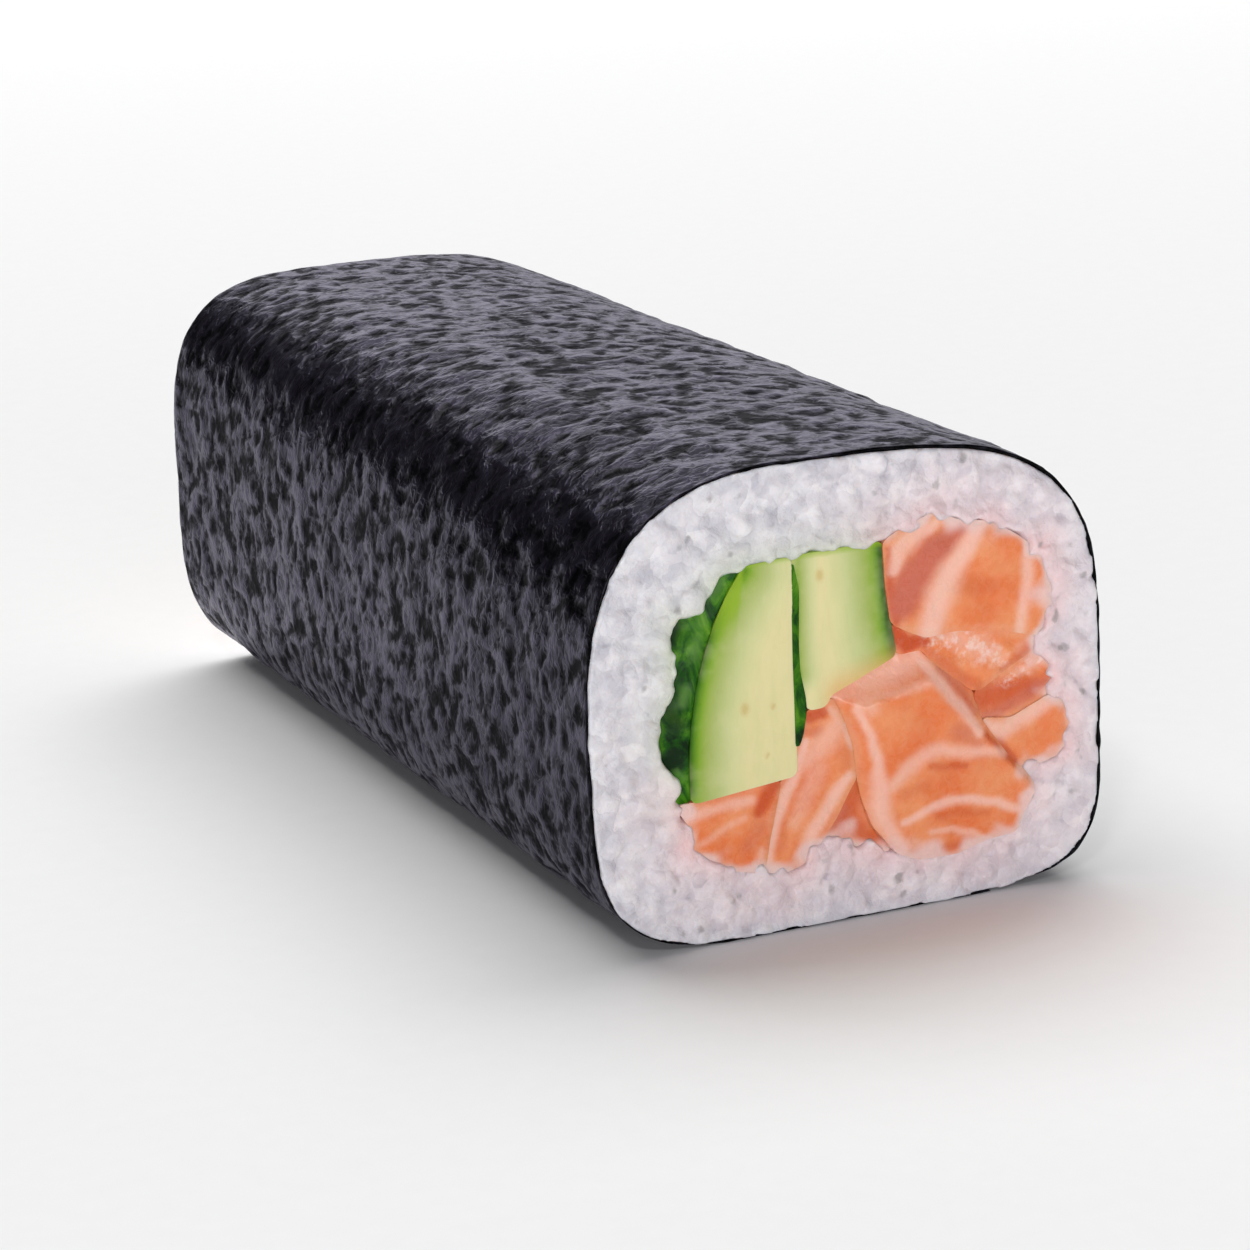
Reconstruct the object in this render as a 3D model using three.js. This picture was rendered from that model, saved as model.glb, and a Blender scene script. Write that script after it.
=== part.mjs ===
// Uncut salmon and cucumber hand roll, lying on its seam.
// Millimetres, +Z up. X runs across the roll and Y along it, with the front cut at -Y.
// The origin is under the middle of the roll, on the surface it rests on.
import * as THREE from 'three';

// ---- driving dimensions ----
const ROLL_LENGTH = 105;
const ROLL_WIDTH = 48.1;
const ROLL_HEIGHT = 40.4;
const HUB = { x: -3.8, z: 18.2 };
const NORI_THICKNESS = 0.35;
const LAP_GAP = 0.15;
const LAP_START_X = -12;
const LAP_END_X = 13;
const LAP_BLEND = THREE.MathUtils.degToRad(14);
const FIT_GAP = 0.3;
const FOOT_FLAT = 0.25;
const WAVE_HEIGHT = 0.22;
const GRAIN_RELIEF = 0.4;
const CORNER_CUT = 0.25;
const FACET_STEEPNESS = 0.6;
const MAX_FACET_SHARE = 0.5;

// Squareness of the four corners of the section: 2 is an ellipse, more is squarer.
const SQUARENESS_FRONT = { topRight: 3.5, topLeft: 2.8, bottomLeft: 4.0, bottomRight: 6.0 };
const SQUARENESS_BACK = { topRight: 3.0, topLeft: 3.8, bottomLeft: 3.6, bottomRight: 6.0 };

// ---- resolution ----
const NORI_STEPS = 112;
const LENGTH_STEPS = 5;
const RICE_FACE_STEPS = 4;

// ---- corners of the filling in the cut face, as [x, z] ----
// Neighbouring pieces share corners, so they tile the hollow in the rice.
const P = {
  // top edge of the cucumber
  batonTopLeft: [-9.5, 32.0],
  batonTopRight: [-5.2, 32.2],
  stickTopRight: [3.3, 32.3],
  // cucumber borders
  batonFootLeft: [-14.9, 12.6],
  batonFootRight: [-5.2, 13.5],
  peelTop: [-4.5, 29.4],
  peelWaist: [-4.65, 25.0],
  peelHip: [-4.6, 22.4],
  peelBelly: [-4.15, 20.0],
  stickFootLeft: [-4.1, 18.9],
  peelLow: [-4.5, 16.8],
  peelTip: [-5.2, 15.5],
  stickFootMid: [-2.2, 19.0],
  stickSide: [3.5, 28.5],
  stickNotch: [3.9, 25.2],
  stickFootRight: [4.4, 22.4],
  // rice against the dark skin, from the foot upwards
  skinFoot: [-16.3, 12.6],
  skinA: [-15.6, 14.2],
  skinB: [-17.3, 16.8],
  skinC: [-17.8, 18.5],
  skinD: [-17.1, 20.6],
  skinE: [-16.2, 22.6],
  skinF: [-16.4, 25.4],
  skinG: [-16.0, 28.2],
  skinH: [-13.2, 28.6],
  skinI: [-12.4, 30.6],
  skinJ: [-11.0, 31.5],
  // upper salmon piece, clockwise along the rice
  upperA: [4.4, 32.9],
  upperB: [6.2, 33.5],
  upperC: [8.3, 34.3],
  upperD: [10.2, 33.2],
  upperE: [13.5, 32.6],
  upperF: [15.8, 31.2],
  upperG: [18.1, 29.4],
  upperH: [19.2, 26.8],
  upperI: [19.0, 23.6],
  // border between the upper piece and the shining one below it
  shineRight: [17.7, 22.1],
  shineA: [14.4, 23.1],
  shineB: [10.0, 23.7],
  shineC: [7.2, 23.5],
  shineD: [5.5, 24.3],
  // borders of the dark piece on the right
  darkTop: [17.5, 20.9],
  darkA: [14.0, 19.1],
  darkB: [12.9, 18.3],
  darkRightA: [19.3, 19.6],
  darkRightB: [19.6, 18.0],
  darkRightC: [18.8, 16.6],
  darkLow: [15.3, 15.1],
  // lower right piece along the rice
  lowerA: [20.3, 16.4],
  lowerB: [21.0, 14.2],
  lowerC: [20.6, 11.8],
  lowerD: [18.6, 10.6],
  // centre block, clockwise from its left top corner
  blockTopLeft: [-1.9, 19.9],
  blockTopA: [1.0, 21.0],
  blockTopRight: [6.8, 22.5],
  blockRightA: [8.0, 21.1],
  blockRightB: [11.8, 18.0],
  blockRightC: [12.2, 15.6],
  blockRightD: [12.9, 14.5],
  blockRightE: [15.2, 11.3],
  blockRightF: [16.2, 10.5],
  blockLowA: [17.3, 9.0],
  blockLowB: [15.9, 6.6],
  blockLowC: [15.2, 5.3],
  blockLowD: [12.0, 5.0],
  blockLowE: [9.4, 4.3],
  blockLowF: [6.0, 4.3],
  blockFootLeft: [3.8, 5.2],
  blockLeftA: [1.7, 7.9],
  blockLeftB: [0.9, 10.2],
  blockLeftC: [0.45, 12.4],
  blockLeftD: [0.1, 15.6],
  blockLeftE: [-0.9, 18.0],
  // wedge left of the block
  wedgeFootA: [0.4, 6.2],
  wedgeFootB: [-1.2, 7.1],
  wedgeFootLeft: [-3.2, 7.2],
  wedgeLeftA: [-1.5, 9.2],
  wedgeLeftB: [-0.4, 11.2],
  // slab under the cucumber
  slabFootA: [-4.6, 5.6],
  slabFootB: [-6.4, 5.2],
  slabFootLeft: [-8.4, 5.5],
  slabLeftA: [-7.8, 8.6],
  slabLeftB: [-7.2, 11.0],
  slabTopLeft: [-6.6, 13.37],
  // lower left piece along the rice
  cornerA: [-11.4, 6.2],
  cornerB: [-13.6, 7.2],
  cornerC: [-15.2, 8.8],
  cornerD: [-14.9, 10.4],
};

// The skin of the left cucumber baton is one long arc between its top and its foot.
const BATON_ARC_PULL = [-15.3, 24.7];
const BATON_ARC_STEPS = 7;

// ---- filling pieces ----
// out says how far both cut ends stand out of the plane of the cut, and facet how wide their
// sloping rim is. slope is how steeply the ends fall back from the baton's arc.
const SALMON = 'salmon';
const FLESH = 'cucumber_flesh';
const SKIN = 'cucumber_skin';
const FILLING = {
  cucumber_skin_side: {
    slot: SKIN, out: 0, facet: 0.15, slope: 0.28,
    outline: ['skinFoot', 'batonArc', 'skinJ', 'skinI', 'skinH', 'skinG', 'skinF', 'skinE',
      'skinD', 'skinC', 'skinB', 'skinA'],
  },
  cucumber_baton_left: {
    slot: FLESH, out: 0.1, facet: 0.2,
    outline: ['batonArcBack', 'batonFootRight', 'batonTopRight'],
  },
  cucumber_peel: {
    slot: SKIN, out: 0.12, facet: 0.05,
    outline: ['peelTip', 'peelLow', 'stickFootLeft', 'peelBelly', 'peelHip', 'peelWaist',
      'peelTop', 'batonTopRight'],
  },
  cucumber_baton_right: {
    slot: FLESH, out: 0, facet: 0.2,
    outline: ['batonTopRight', 'peelTop', 'peelWaist', 'peelHip', 'peelBelly', 'stickFootLeft',
      'stickFootMid', 'blockTopLeft', 'blockTopA', 'stickFootRight', 'stickNotch', 'stickSide',
      'stickTopRight'],
  },
  salmon_upper_right: {
    slot: SALMON, out: 0.1, facet: 0.7,
    outline: ['stickTopRight', 'stickSide', 'stickNotch', 'shineD', 'shineC', 'shineB', 'shineA',
      'shineRight', 'upperI', 'upperH', 'upperG', 'upperF', 'upperE', 'upperD', 'upperC',
      'upperB', 'upperA'],
  },
  salmon_shining: {
    slot: SALMON, out: -0.15, facet: 0.5,
    outline: ['stickNotch', 'stickFootRight', 'blockTopRight', 'blockRightA', 'blockRightB',
      'darkB', 'darkA', 'darkTop', 'shineRight', 'shineA', 'shineB', 'shineC', 'shineD'],
  },
  salmon_dark_right: {
    slot: SALMON, out: -0.25, facet: 0.5,
    outline: ['blockRightB', 'blockRightC', 'darkLow', 'darkRightC', 'darkRightB', 'darkRightA',
      'darkTop', 'darkA', 'darkB'],
  },
  salmon_lower_right: {
    slot: SALMON, out: -0.05, facet: 0.5,
    outline: ['blockRightC', 'blockRightD', 'blockRightE', 'blockRightF', 'lowerD', 'lowerC',
      'lowerB', 'lowerA', 'darkRightC', 'darkLow'],
  },
  salmon_centre_block: {
    slot: SALMON, out: 0.6, facet: 1.5,
    outline: ['blockTopLeft', 'blockLeftE', 'blockLeftD', 'blockLeftC', 'blockLeftB',
      'blockLeftA', 'blockFootLeft', 'blockLowF', 'blockLowE', 'blockLowD', 'blockLowC',
      'blockLowB', 'blockLowA', 'blockRightF', 'blockRightE', 'blockRightD', 'blockRightC',
      'blockRightB', 'blockRightA', 'blockTopRight', 'stickFootRight', 'blockTopA'],
  },
  salmon_wedge: {
    slot: SALMON, out: -0.3, facet: 0.3,
    outline: ['blockLeftC', 'wedgeLeftB', 'wedgeLeftA', 'wedgeFootLeft', 'wedgeFootB',
      'wedgeFootA', 'blockFootLeft', 'blockLeftA', 'blockLeftB'],
  },
  salmon_slab: {
    slot: SALMON, out: -0.05, facet: 0.5,
    outline: ['stickFootMid', 'stickFootLeft', 'peelLow', 'peelTip', 'batonFootRight',
      'slabTopLeft', 'slabLeftB', 'slabLeftA', 'slabFootLeft', 'slabFootB', 'slabFootA',
      'wedgeFootLeft', 'wedgeLeftA', 'wedgeLeftB', 'blockLeftC', 'blockLeftD', 'blockLeftE',
      'blockTopLeft'],
  },
  salmon_lower_left: {
    slot: SALMON, out: 0, facet: 0.6,
    outline: ['batonFootLeft', 'skinFoot', 'cornerD', 'cornerC', 'cornerB', 'cornerA',
      'slabFootLeft', 'slabLeftA', 'slabLeftB', 'slabTopLeft'],
  },
};

// Edge of the hollow in the rice, anticlockwise seen from the front.
const HOLLOW = ['batonTopRight', 'batonTopLeft', 'skinJ', 'skinI', 'skinH', 'skinG', 'skinF',
  'skinE', 'skinD', 'skinC', 'skinB', 'skinA', 'skinFoot', 'cornerD', 'cornerC', 'cornerB',
  'cornerA', 'slabFootLeft', 'slabFootB', 'slabFootA', 'wedgeFootLeft', 'wedgeFootB',
  'wedgeFootA', 'blockFootLeft', 'blockLowF', 'blockLowE', 'blockLowD', 'blockLowC',
  'blockLowB', 'blockLowA', 'blockRightF', 'lowerD', 'lowerC', 'lowerB', 'lowerA',
  'darkRightC', 'darkRightB', 'darkRightA', 'darkTop', 'shineRight', 'upperI', 'upperH',
  'upperG', 'upperF', 'upperE', 'upperD', 'upperC', 'upperB', 'upperA', 'stickTopRight'];

// ---- materials ----
const material = {
  nori: new THREE.MeshStandardMaterial({ color: 0x2c2b31, roughness: 0.42, metalness: 0 }),
  rice: new THREE.MeshStandardMaterial({ color: 0xe6e3e8, roughness: 0.35, metalness: 0 }),
  cucumber_flesh: new THREE.MeshStandardMaterial({ color: 0xcdd493, roughness: 0.3, metalness: 0 }),
  cucumber_skin: new THREE.MeshStandardMaterial({ color: 0x245a14, roughness: 0.35, metalness: 0 }),
  salmon: new THREE.MeshStandardMaterial({ color: 0xe58a5e, roughness: 0.3, metalness: 0 }),
};

// ---- outlines ----
function batonArc() {
  const curve = new THREE.QuadraticBezierCurve(
    new THREE.Vector2(...P.batonFootLeft),
    new THREE.Vector2(...BATON_ARC_PULL),
    new THREE.Vector2(...P.batonTopLeft));
  return curve.getPoints(BATON_ARC_STEPS);
}

function outlineOf(names) {
  return names.flatMap((name) => {
    if (name === 'batonArc') return batonArc();
    if (name === 'batonArcBack') return batonArc().reverse();
    return [new THREE.Vector2(...P[name])];
  });
}

function anticlockwise(points) {
  return THREE.ShapeUtils.area(points) > 0 ? points : points.slice().reverse();
}

// Moves every edge of an anticlockwise outline inwards; a negative distance moves it outwards.
function inset(points, distance) {
  const count = points.length;
  return points.map((point, i) => {
    const before = point.clone().sub(points[(i + count - 1) % count]).normalize();
    const after = points[(i + 1) % count].clone().sub(point).normalize();
    const inward = new THREE.Vector2(-before.y - after.y, before.x + after.x).normalize();
    const spread = Math.max(0.6, inward.dot(new THREE.Vector2(-before.y, before.x)));
    return point.clone().addScaledVector(inward, distance / spread);
  });
}

// Takes every corner off, by CORNER_CUT along both its edges or a quarter of a short edge.
function rounded(points) {
  return points.flatMap((point, i) => {
    const next = points[(i + 1) % points.length];
    const share = Math.min(0.25, CORNER_CUT / point.distanceTo(next));
    return [point.clone().lerp(next, share), point.clone().lerp(next, 1 - share)];
  });
}

// ---- section of the roll ----
function squareness(angle, y) {
  const along = y / ROLL_LENGTH + 0.5;
  const vertical = Math.sin(angle) >= 0 ? 'top' : 'bottom';
  const side = Math.cos(angle) >= 0 ? 'Right' : 'Left';
  const corner = vertical + side;
  return THREE.MathUtils.lerp(SQUARENESS_FRONT[corner], SQUARENESS_BACK[corner], along);
}

// Slow rise and fall of the sheet over the rice beneath it.
function wave(angle, y) {
  const turn = Math.sin(3 * angle + y / 17) * Math.sin(y / 11 + 2 * Math.cos(angle));
  return WAVE_HEIGHT * (turn - 1) / 2;
}

// Point of the outer surface at an angle round the hub, moved inwards by a depth.
function sectionPoint(angle, y, depth) {
  const c = Math.cos(angle);
  const s = Math.sin(angle);
  const inwards = depth - wave(angle, y);
  const across = (c >= 0 ? ROLL_WIDTH / 2 - HUB.x : ROLL_WIDTH / 2 + HUB.x) - inwards;
  const up = (s >= 0 ? ROLL_HEIGHT - HUB.z : HUB.z + FOOT_FLAT) - inwards;
  const power = squareness(angle, y);
  const radius = (Math.abs(c / across) ** power + Math.abs(s / up) ** power) ** (-1 / power);
  const x = HUB.x + radius * c;
  const z = Math.max(HUB.z + radius * s, depth);
  return new THREE.Vector3(x, y, z);
}

function stationY(step) {
  return -ROLL_LENGTH / 2 + (step * ROLL_LENGTH) / LENGTH_STEPS;
}

function footAngle(x) {
  return Math.atan2(-HUB.z, x - HUB.x);
}

const LAP_START = footAngle(LAP_START_X);
const LAP_END = footAngle(LAP_END_X);
const LAP_DEPTH = NORI_THICKNESS + LAP_GAP;

// Depth of the sheet's inner end, which the outer end laps over.
function lapDepth(angle) {
  return LAP_DEPTH * (1 - THREE.MathUtils.smoothstep(angle, LAP_END, LAP_END + LAP_BLEND));
}

function riceDepth(angle) {
  const rise = THREE.MathUtils.smoothstep(angle, LAP_START - LAP_BLEND, LAP_START);
  return NORI_THICKNESS + FIT_GAP + rise * lapDepth(angle);
}

// ---- solids ----
function solid(name, positions, triangles, slot) {
  const geometry = new THREE.BufferGeometry();
  const flat = positions.flatMap((point) => [point.x, point.y, point.z]);
  geometry.setAttribute('position', new THREE.Float32BufferAttribute(flat, 3));
  geometry.setIndex(triangles);
  geometry.computeVertexNormals();
  const mesh = new THREE.Mesh(geometry, material[slot]);
  mesh.name = name;
  return mesh;
}

function quad(a, b, c, d) {
  return [a, b, c, a, c, d];
}

// Joins rings of equal length into walls and closes both ends with flat caps.
function loft(name, rings, slot) {
  const count = rings[0].length;
  const triangles = [];
  for (let r = 0; r + 1 < rings.length; r += 1) {
    for (let i = 0; i < count; i += 1) {
      const j = (i + 1) % count;
      const near = r * count;
      const far = near + count;
      triangles.push(...quad(near + i, far + i, far + j, near + j));
    }
  }
  const flatten = (ring) => ring.map((point) => new THREE.Vector2(point.x, point.z));
  const last = (rings.length - 1) * count;
  const front = THREE.ShapeUtils.triangulateShape(flatten(rings[0]), []);
  const back = THREE.ShapeUtils.triangulateShape(flatten(rings[rings.length - 1]), []);
  front.forEach(([a, b, c]) => triangles.push(a, b, c));
  back.forEach(([a, b, c]) => triangles.push(last + a, last + c, last + b));
  return solid(name, rings.flat(), triangles, slot);
}

// ---- filling ----
function centreOf(points) {
  const sum = points.reduce((total, point) => total.add(point), new THREE.Vector2());
  return sum.divideScalar(points.length);
}

function endRing(points, y, inwards, slope) {
  const hinge = batonArc();
  return points.map((point) => {
    const reach = slope ? Math.min(...hinge.map((spot) => spot.distanceTo(point))) : 0;
    return new THREE.Vector3(point.x, y + inwards * slope * reach, point.y);
  });
}

function fillingPiece(name, { slot, outline, out, facet, slope = 0 }) {
  const corners = anticlockwise(outlineOf(outline));
  const side = rounded(inset(corners, FIT_GAP / 2));
  const centre = centreOf(side);
  const face = side.map((point) => {
    const share = Math.min(MAX_FACET_SHARE, facet / point.distanceTo(centre));
    return point.clone().lerp(centre, share);
  });
  const endY = ROLL_LENGTH / 2 + out;
  const rim = FACET_STEEPNESS * facet;
  return loft(name, [
    endRing(face, -endY, 1, slope),
    endRing(side, -endY + rim, 1, slope),
    endRing(side, endY - rim, -1, slope),
    endRing(face, endY, -1, slope),
  ], slot);
}

// ---- rice ----
// Height of the packed grains that show in the cut, as lumps of about two millimetres.
function grainRelief(x, z) {
  return GRAIN_RELIEF * Math.sin(2.9 * x + Math.sin(1.7 * z)) * Math.sin(3.1 * z + Math.sin(2.3 * x));
}

// One loop of points: out along the front cut, back along the nori, home along the back cut.
function riceLoop(hollowPoint) {
  const angle = Math.atan2(hollowPoint.y - HUB.z, hollowPoint.x - HUB.x);
  const end = ROLL_LENGTH / 2;
  const outer = (y) => sectionPoint(angle, y, riceDepth(angle));
  const face = (y, step) => {
    const share = step / RICE_FACE_STEPS;
    const point = new THREE.Vector3(hollowPoint.x, y, hollowPoint.y).lerp(outer(y), share);
    point.y += Math.sign(y) * Math.sin(Math.PI * share) * grainRelief(point.x, point.z);
    return point;
  };
  const loop = [];
  for (let k = 0; k <= RICE_FACE_STEPS; k += 1) loop.push(face(-end, k));
  for (let k = 1; k < LENGTH_STEPS; k += 1) loop.push(outer(stationY(k)));
  for (let k = RICE_FACE_STEPS; k >= 0; k -= 1) loop.push(face(end, k));
  return loop;
}

function riceBody() {
  const hollow = rounded(inset(anticlockwise(outlineOf(HOLLOW)), -FIT_GAP / 2));
  const loops = hollow.map(riceLoop);
  const size = loops[0].length;
  const triangles = [];
  for (let i = 0; i < loops.length; i += 1) {
    const here = i * size;
    const next = ((i + 1) % loops.length) * size;
    for (let k = 0; k < size; k += 1) {
      const l = (k + 1) % size;
      triangles.push(...quad(here + k, here + l, next + l, next + k));
    }
  }
  return solid('rice', loops.flat(), triangles, 'rice');
}

// ---- nori ----
// One sheet: its inner end starts under the rice, it goes once round and laps over itself.
function noriSheet() {
  const sweep = LAP_END + 2 * Math.PI - LAP_START;
  const rings = [];
  for (let k = 0; k <= LENGTH_STEPS; k += 1) {
    const outer = [];
    const inner = [];
    for (let i = 0; i <= NORI_STEPS; i += 1) {
      const angle = LAP_START + (sweep * i) / NORI_STEPS;
      const depth = lapDepth(angle);
      outer.push(sectionPoint(angle, stationY(k), depth));
      inner.push(sectionPoint(angle, stationY(k), depth + NORI_THICKNESS));
    }
    rings.push([...outer, ...inner.reverse()]);
  }
  return loft('nori_wrap', rings, 'nori');
}

// ---- the roll ----
const roll = new THREE.Group();
roll.name = 'salmon_hand_roll';
roll.add(noriSheet(), riceBody());
Object.entries(FILLING).forEach(([name, piece]) => roll.add(fillingPiece(name, piece)));

export default roll;
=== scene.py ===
"""Looks of the uncut salmon and cucumber hand roll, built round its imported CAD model.

The CAD frame is used as it is: X across the roll, Y along it with the front cut at -Y, Z up.
Shapes are worked out in millimetres and turned into metres when a mesh is made.
"""
import math

import bpy
import numpy as np
from mathutils import Matrix, Vector, geometry, noise


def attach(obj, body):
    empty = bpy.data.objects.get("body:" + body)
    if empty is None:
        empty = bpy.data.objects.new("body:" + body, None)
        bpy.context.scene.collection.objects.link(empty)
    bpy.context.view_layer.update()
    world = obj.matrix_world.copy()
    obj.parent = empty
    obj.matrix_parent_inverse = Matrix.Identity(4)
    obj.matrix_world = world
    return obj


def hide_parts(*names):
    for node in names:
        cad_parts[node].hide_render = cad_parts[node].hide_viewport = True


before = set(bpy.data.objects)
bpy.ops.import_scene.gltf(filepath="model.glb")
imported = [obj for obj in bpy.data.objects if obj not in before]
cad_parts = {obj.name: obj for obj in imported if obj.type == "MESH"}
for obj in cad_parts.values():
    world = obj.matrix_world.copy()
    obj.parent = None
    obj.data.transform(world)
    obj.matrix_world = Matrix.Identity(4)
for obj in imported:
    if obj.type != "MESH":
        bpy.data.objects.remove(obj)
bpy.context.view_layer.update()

MM = 0.001
SEED = 20
SEED_SHIFT = np.array([13.7, 7.1, 3.3])  # how far each seed moves the noise

# ---- the roll, as in the CAD model, in millimetres ----
ROLL_LENGTH = 105.0
ROLL_WIDTH = 48.1
ROLL_HEIGHT = 40.4
HUB_X, HUB_Z = -3.8, 18.2  # the middle that angles are measured round
NORI_THICKNESS = 0.35
LAP_GAP = 0.15
LAP_ENDS_X = (-12.0, 13.0)  # where the sheet's inner and outer ends lie, underneath
LAP_BLEND = math.radians(14)
FOOT_FLAT = 0.25
WAVE_HEIGHT = 0.22
SQUARENESS = {  # front and back value for each corner of the section
    ("top", "right"): (3.5, 3.0),
    ("top", "left"): (2.8, 3.8),
    ("bottom", "left"): (4.0, 3.6),
    ("bottom", "right"): (6.0, 6.0),
}
FRONT, BACK = -ROLL_LENGTH / 2, ROLL_LENGTH / 2


# ---- small helpers ----
def smoothstep(x, low, high):
    t = np.clip((np.asarray(x, float) - low) / (high - low), 0, 1)
    return t * t * (3 - 2 * t)


def noise_at(points, size, seed):
    """Smooth noise, about -1 to 1, whose lumps have that size in mm.

    Points are (x, y, z), or (x, z) for a pattern that is the same all along the roll.
    """
    if points.shape[1] == 2:
        points = np.column_stack([points, np.zeros(len(points))])
    return np.array([noise.noise(Vector(p)) for p in points / size + seed * SEED_SHIFT])


def distance_to_path(points, path, closed=False):
    """Distance from each (x, z) point to a path, and how far along it the nearest spot is."""
    path = np.asarray(path, float)
    if closed:
        path = np.vstack([path, path[:1]])
    a, b = path[:-1], path[1:]
    run = b - a
    size = np.maximum((run ** 2).sum(1), 1e-12)
    best = np.full(len(points), 1e9)
    where = np.zeros(len(points))
    for i in range(len(a)):
        t = np.clip(((points - a[i]) @ run[i]) / size[i], 0, 1)
        gap = np.linalg.norm(points - a[i] - t[:, None] * run[i], axis=1)
        nearer = gap < best
        best[nearer] = gap[nearer]
        where[nearer] = (i + t)[nearer]
    return best, where


def gap_to(outline, points):
    """Distance from each (x, z) point to a closed outline."""
    return distance_to_path(points, outline, closed=True)[0]


def inside(points, loop):
    """True for each (x, z) point inside a closed outline."""
    x, z = points.T
    result = np.zeros(len(points), bool)
    for (xa, za), (xb, zb) in zip(loop, np.roll(loop, -1, axis=0)):
        if za != zb:
            crosses = (za > z) != (zb > z)
            result ^= crosses & (x < (xb - xa) * (z - za) / (zb - za) + xa)
    return result


def section(node):
    """Outlines, longest first, where the plane y = 0 cuts a node's CAD mesh. Anticlockwise."""
    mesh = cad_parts[node].data
    mesh.calc_loop_triangles()
    spots = np.array([v.co for v in mesh.vertices]) / MM
    links = {}
    for triangle in mesh.loop_triangles:
        corners = spots[list(triangle.vertices)]
        cut = []
        for a, b in zip(corners, np.roll(corners, -1, axis=0)):
            if (a[1] > 0) != (b[1] > 0):
                spot = a + (b - a) * -a[1] / (b[1] - a[1])
                cut.append((round(spot[0], 3), round(spot[2], 3)))
        if len(cut) == 2 and cut[0] != cut[1]:
            for here, ahead in (cut, cut[::-1]):
                links.setdefault(here, []).append(ahead)
    loops = []
    while links:
        here, loop = next(iter(links)), []
        while here in links:
            loop.append(here)
            here = next((spot for spot in links.pop(here) if spot in links), None)
        loops.append(anticlockwise(np.array(loop)))
    return sorted(loops, key=lambda loop: -path_length(loop))


def path_length(loop):
    return np.linalg.norm(np.roll(loop, -1, axis=0) - loop, axis=1).sum()


def anticlockwise(loop):
    ahead = np.roll(loop, -1, axis=0)
    area = (loop[:, 0] * ahead[:, 1] - ahead[:, 0] * loop[:, 1]).sum()
    return loop if area > 0 else loop[::-1]


def resample(loop, spacing):
    """The closed outline with points evenly spaced along it."""
    closed = np.vstack([loop, loop[:1]])
    steps = np.linalg.norm(np.diff(closed, axis=0), axis=1)
    along = np.concatenate([[0], np.cumsum(steps)])
    count = max(8, int(along[-1] / spacing))
    at = np.linspace(0, along[-1], count, endpoint=False)
    return np.column_stack([np.interp(at, along, closed[:, k]) for k in (0, 1)])


def smooth_loop(loop, passes):
    for _ in range(passes):
        loop = (np.roll(loop, 1, axis=0) + 2 * loop + np.roll(loop, -1, axis=0)) / 4
    return loop


def grow(loop, distance):
    """Moves an anticlockwise outline outwards."""
    tangent = np.roll(loop, -1, axis=0) - np.roll(loop, 1, axis=0)
    tangent /= np.maximum(np.linalg.norm(tangent, axis=1), 1e-9)[:, None]
    outward = np.column_stack([tangent[:, 1], -tangent[:, 0]])
    return loop + outward * distance


def strip(first, second, count):
    """Faces between two rings of an anticlockwise outline, the first nearer the front."""
    return [(first + i, second + i, second + j, first + j)
            for i, j in zip(range(count), [*range(1, count), 0])]


def tube(rings, count):
    """Faces through rings of which the last joins the first."""
    return [quad for k in range(rings)
            for quad in strip(k * count, (k + 1) % rings * count, count)]


def at_y(flat, y):
    """(x, y, z) points from (x, z) points and their y."""
    return np.insert(flat, 1, y, axis=1)


def new_mesh(name, spots, faces):
    """A mesh from points in mm."""
    mesh = bpy.data.meshes.new(name)
    mesh.from_pydata([tuple(p) for p in spots * MM], [], faces)
    return mesh


def new_object(name, data):
    thing = bpy.data.objects.new(name, data)
    bpy.context.scene.collection.objects.link(thing)
    return thing


def make_piece(name, node, spots, faces, material, attributes, uv=None, rims=()):
    """A smooth piece from points in mm, riding on the roll in place of a CAD node.

    rims are (first, last) ranges of points whose joining edges stay sharp.
    """
    mesh = new_mesh(name, spots, faces)
    mesh.validate()
    mesh.polygons.foreach_set("use_smooth", [True] * len(mesh.polygons))
    for key, values in attributes.items():
        layer = mesh.attributes.new(key, "FLOAT", "POINT")
        layer.data.foreach_set("value", np.asarray(values, np.float32))
    if uv is not None:
        layer = mesh.uv_layers.new(name="sheet")
        corner = [loop.vertex_index for loop in mesh.loops]
        layer.data.foreach_set("uv", np.asarray(uv, np.float32)[corner].ravel())
    ends = np.array(mesh.edge_keys)
    sharp = np.zeros(len(ends), bool)
    for first, last in rims:
        sharp |= ((ends >= first) & (ends < last)).all(axis=1)
    mesh.edges.foreach_set("use_edge_sharp", sharp)
    mesh.materials.append(material)
    mesh.update()
    piece = new_object(name, mesh)
    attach(piece, "root")
    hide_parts(node)
    return piece


# ---- section of the roll ----
def wave(angle, y):
    """Slow rise and fall of the sheet over the rice beneath it."""
    turn = np.sin(3 * angle + y / 17) * np.sin(y / 11 + 2 * np.cos(angle))
    return WAVE_HEIGHT * (turn - 1) / 2


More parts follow.
